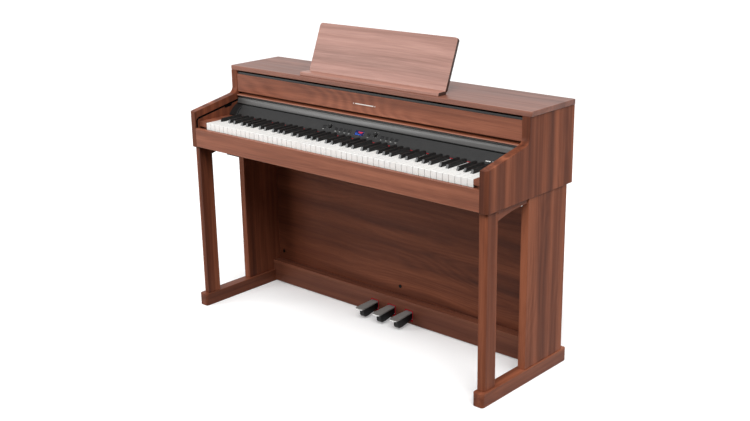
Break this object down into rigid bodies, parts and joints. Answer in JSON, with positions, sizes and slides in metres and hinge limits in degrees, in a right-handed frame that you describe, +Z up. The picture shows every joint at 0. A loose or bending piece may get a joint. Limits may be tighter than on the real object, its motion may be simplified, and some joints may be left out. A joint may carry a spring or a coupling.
{
  "type": "digital piano on stand",
  "caption": "Console digital piano with full keyboard, sliding key cover, folding music rest, control panel and pedals on a panelled wooden stand.",
  "frame": {"origin": "floor level under the middle of the footprint", "axes": "+X to the player's right along the keyboard, -Y towards the player, +Z up"},
  "size_m": [1.363, 0.47, 1.0756],
  "materials": {
    "case_wood": "satin printed wood grain",
    "top_wood": "satin wood grain",
    "rest_wood": "satin light wood",
    "cover_wood": "satin light wood",
    "white_key": "smooth semi-gloss",
    "black_key": "fine matt",
    "panel_grey": "satin dark grey",
    "black_plastic": "matt black",
    "button_black": "matt black",
    "display": "glossy dark window",
    "red_felt": "felt",
    "chassis_grey": "moulded",
    "rod_steel": "drawn",
    "board_green": "circuit board",
    "lip_grey": "satin grey",
    "pedal_metal": "satin nickel",
    "hinge_steel": "plated",
    "speaker_black": "moulded"
  },
  "bodies": {
    "case": {"side_panels": "case_wood", "top_board": "top_wood", "fascia_board": "case_wood", "slot_strip": "black_plastic", "upper_back_board": "case_wood", "keybed": "case_wood", "keyslip": "case_wood", "key_blocks": "case_wood", "control_panel": "panel_grey", "panel_end_caps": "black_plastic", "display_window": "display", "felts": "red_felt", "key_chassis": "chassis_grey", "pivot_rods": "rod_steel", "circuit_boards": "board_green", "speakers": "speaker_black", "jack_panel": "black_plastic", "headphone_box": "black_plastic", "front_legs": "case_wood", "rear_legs": "case_wood", "feet": "case_wood", "side_rails": "case_wood", "back_board": "case_wood", "pedal_rail": "case_wood", "pedal_box": "chassis_grey", "screws": "hinge_steel", "music_rest_ledge": "rest_wood", "music_rest_hinges": "hinge_steel"},
    "keys_c": {"keys_c": "white_key"},
    "keys_c_sharp": {"keys_c_sharp": "black_key"},
    "keys_d": {"keys_d": "white_key"},
    "keys_d_sharp": {"keys_d_sharp": "black_key"},
    "keys_e": {"keys_e": "white_key"},
    "keys_f": {"keys_f": "white_key"},
    "keys_f_sharp": {"keys_f_sharp": "black_key"},
    "keys_g": {"keys_g": "white_key"},
    "keys_g_sharp": {"keys_g_sharp": "black_key"},
    "keys_a": {"keys_a": "white_key"},
    "keys_a_sharp": {"keys_a_sharp": "black_key"},
    "keys_b": {"keys_b": "white_key"},
    "pedal_soft": {"pedal_soft": "pedal_metal"},
    "pedal_sostenuto": {"pedal_sostenuto": "pedal_metal"},
    "pedal_damper": {"pedal_damper": "pedal_metal"},
    "button_power": {"button_power": "button_black"},
    "button_menu": {"button_menu": "button_black"},
    "button_left_1": {"button_left_1": "button_black"},
    "button_left_2": {"button_left_2": "button_black"},
    "button_left_3": {"button_left_3": "button_black"},
    "button_left_4": {"button_left_4": "button_black"},
    "button_right_1": {"button_right_1": "button_black"},
    "button_right_2": {"button_right_2": "button_black"},
    "button_right_3": {"button_right_3": "button_black"},
    "button_right_4": {"button_right_4": "button_black"},
    "knob_volume": {"knob_volume": "black_plastic"},
    "knob_select": {"knob_select": "black_plastic"},
    "key_cover": {"key_cover": "cover_wood", "cover_lip": "lip_grey"},
    "music_rest": {"music_rest_board": "rest_wood", "music_rest_clips": "hinge_steel"},
    "music_rest_prop": {"music_rest_prop": "hinge_steel"}
  },
  "joints": [
    {"name": "keys_c_press", "type": "hinge", "parent": "case", "child": "keys_c", "pos_m": [0, 0.035, 0.701], "axis": [1, 0, 0], "range_deg": [0, 2.4], "stiffness_Nm_per_rad": 14, "springref_deg": -9.17},
    {"name": "keys_c_sharp_press", "type": "hinge", "parent": "case", "child": "keys_c_sharp", "pos_m": [0, 0.035, 0.701], "axis": [1, 0, 0], "range_deg": [0, 2.4], "stiffness_Nm_per_rad": 14, "springref_deg": -9.17},
    {"name": "keys_d_press", "type": "hinge", "parent": "case", "child": "keys_d", "pos_m": [0, 0.035, 0.701], "axis": [1, 0, 0], "range_deg": [0, 2.4], "stiffness_Nm_per_rad": 14, "springref_deg": -9.17},
    {"name": "keys_d_sharp_press", "type": "hinge", "parent": "case", "child": "keys_d_sharp", "pos_m": [0, 0.035, 0.701], "axis": [1, 0, 0], "range_deg": [0, 2.4], "stiffness_Nm_per_rad": 14, "springref_deg": -9.17},
    {"name": "keys_e_press", "type": "hinge", "parent": "case", "child": "keys_e", "pos_m": [0, 0.035, 0.701], "axis": [1, 0, 0], "range_deg": [0, 2.4], "stiffness_Nm_per_rad": 14, "springref_deg": -9.17},
    {"name": "keys_f_press", "type": "hinge", "parent": "case", "child": "keys_f", "pos_m": [0, 0.035, 0.701], "axis": [1, 0, 0], "range_deg": [0, 2.4], "stiffness_Nm_per_rad": 14, "springref_deg": -9.17},
    {"name": "keys_f_sharp_press", "type": "hinge", "parent": "case", "child": "keys_f_sharp", "pos_m": [0, 0.035, 0.701], "axis": [1, 0, 0], "range_deg": [0, 2.4], "stiffness_Nm_per_rad": 14, "springref_deg": -9.17},
    {"name": "keys_g_press", "type": "hinge", "parent": "case", "child": "keys_g", "pos_m": [0, 0.035, 0.701], "axis": [1, 0, 0], "range_deg": [0, 2.4], "stiffness_Nm_per_rad": 14, "springref_deg": -9.17},
    {"name": "keys_g_sharp_press", "type": "hinge", "parent": "case", "child": "keys_g_sharp", "pos_m": [0, 0.035, 0.701], "axis": [1, 0, 0], "range_deg": [0, 2.4], "stiffness_Nm_per_rad": 14, "springref_deg": -9.17},
    {"name": "keys_a_press", "type": "hinge", "parent": "case", "child": "keys_a", "pos_m": [0, 0.035, 0.701], "axis": [1, 0, 0], "range_deg": [0, 2.4], "stiffness_Nm_per_rad": 14, "springref_deg": -9.17},
    {"name": "keys_a_sharp_press", "type": "hinge", "parent": "case", "child": "keys_a_sharp", "pos_m": [0, 0.035, 0.701], "axis": [1, 0, 0], "range_deg": [0, 2.4], "stiffness_Nm_per_rad": 14, "springref_deg": -9.17},
    {"name": "keys_b_press", "type": "hinge", "parent": "case", "child": "keys_b", "pos_m": [0, 0.035, 0.701], "axis": [1, 0, 0], "range_deg": [0, 2.4], "stiffness_Nm_per_rad": 14, "springref_deg": -9.17},
    {"name": "pedal_soft_press", "type": "hinge", "parent": "case", "child": "pedal_soft", "pos_m": [-0.0935, 0.154, 0.035], "axis": [1, 0, 0], "range_deg": [0, 4.4], "stiffness_Nm_per_rad": 8, "springref_deg": -11.46},
    {"name": "pedal_sostenuto_press", "type": "hinge", "parent": "case", "child": "pedal_sostenuto", "pos_m": [-0.01, 0.154, 0.035], "axis": [1, 0, 0], "range_deg": [0, 4.4], "stiffness_Nm_per_rad": 8, "springref_deg": -11.46},
    {"name": "pedal_damper_press", "type": "hinge", "parent": "case", "child": "pedal_damper", "pos_m": [0.0735, 0.154, 0.035], "axis": [1, 0, 0], "range_deg": [0, 4.4], "stiffness_Nm_per_rad": 8, "springref_deg": -11.46},
    {"name": "button_power_press", "type": "slide", "parent": "case", "child": "button_power", "axis": [0, 0.7193, -0.6947], "range_m": [0, 0.0008], "stiffness_N_per_m": 900, "springref_m": -0.0006},
    {"name": "button_menu_press", "type": "slide", "parent": "case", "child": "button_menu", "axis": [0, 0.7193, -0.6947], "range_m": [0, 0.0008], "stiffness_N_per_m": 900, "springref_m": -0.0006},
    {"name": "button_left_1_press", "type": "slide", "parent": "case", "child": "button_left_1", "axis": [0, 0.7193, -0.6947], "range_m": [0, 0.0008], "stiffness_N_per_m": 900, "springref_m": -0.0006},
    {"name": "button_left_2_press", "type": "slide", "parent": "case", "child": "button_left_2", "axis": [0, 0.7193, -0.6947], "range_m": [0, 0.0008], "stiffness_N_per_m": 900, "springref_m": -0.0006},
    {"name": "button_left_3_press", "type": "slide", "parent": "case", "child": "button_left_3", "axis": [0, 0.7193, -0.6947], "range_m": [0, 0.0008], "stiffness_N_per_m": 900, "springref_m": -0.0006},
    {"name": "button_left_4_press", "type": "slide", "parent": "case", "child": "button_left_4", "axis": [0, 0.7193, -0.6947], "range_m": [0, 0.0008], "stiffness_N_per_m": 900, "springref_m": -0.0006},
    {"name": "button_right_1_press", "type": "slide", "parent": "case", "child": "button_right_1", "axis": [0, 0.7193, -0.6947], "range_m": [0, 0.0008], "stiffness_N_per_m": 900, "springref_m": -0.0006},
    {"name": "button_right_2_press", "type": "slide", "parent": "case", "child": "button_right_2", "axis": [0, 0.7193, -0.6947], "range_m": [0, 0.0008], "stiffness_N_per_m": 900, "springref_m": -0.0006},
    {"name": "button_right_3_press", "type": "slide", "parent": "case", "child": "button_right_3", "axis": [0, 0.7193, -0.6947], "range_m": [0, 0.0008], "stiffness_N_per_m": 900, "springref_m": -0.0006},
    {"name": "button_right_4_press", "type": "slide", "parent": "case", "child": "button_right_4", "axis": [0, 0.7193, -0.6947], "range_m": [0, 0.0008], "stiffness_N_per_m": 900, "springref_m": -0.0006},
    {"name": "knob_volume_turn", "type": "hinge", "parent": "case", "child": "knob_volume", "pos_m": [-0.139, -0.0367, 0.74333], "axis": [0, -0.7193, 0.6947], "range_deg": [-150, 150]},
    {"name": "knob_select_turn", "type": "hinge", "parent": "case", "child": "knob_select", "pos_m": [0.073, -0.0367, 0.74333], "axis": [0, -0.7193, 0.6947], "range_deg": [-150, 150]},
    {"name": "key_cover_slide", "type": "slide", "parent": "case", "child": "key_cover", "axis": [0, -0.9815, -0.1913], "range_m": [0, 0.19]},
    {"name": "music_rest_fold", "type": "hinge", "parent": "case", "child": "music_rest", "pos_m": [0, 0.0488, 0.907], "axis": [-1, 0, 0], "range_deg": [0, 66]},
    {"name": "music_rest_prop_fold", "type": "hinge", "parent": "music_rest", "child": "music_rest_prop", "pos_m": [0, 0.08197, 0.97991], "axis": [1, 0, 0], "range_deg": [0, 123]}
  ],
  "couplings": [
    {"joint": "music_rest_prop_fold", "follows": "music_rest_fold", "ratio": 1.862}
  ]
}
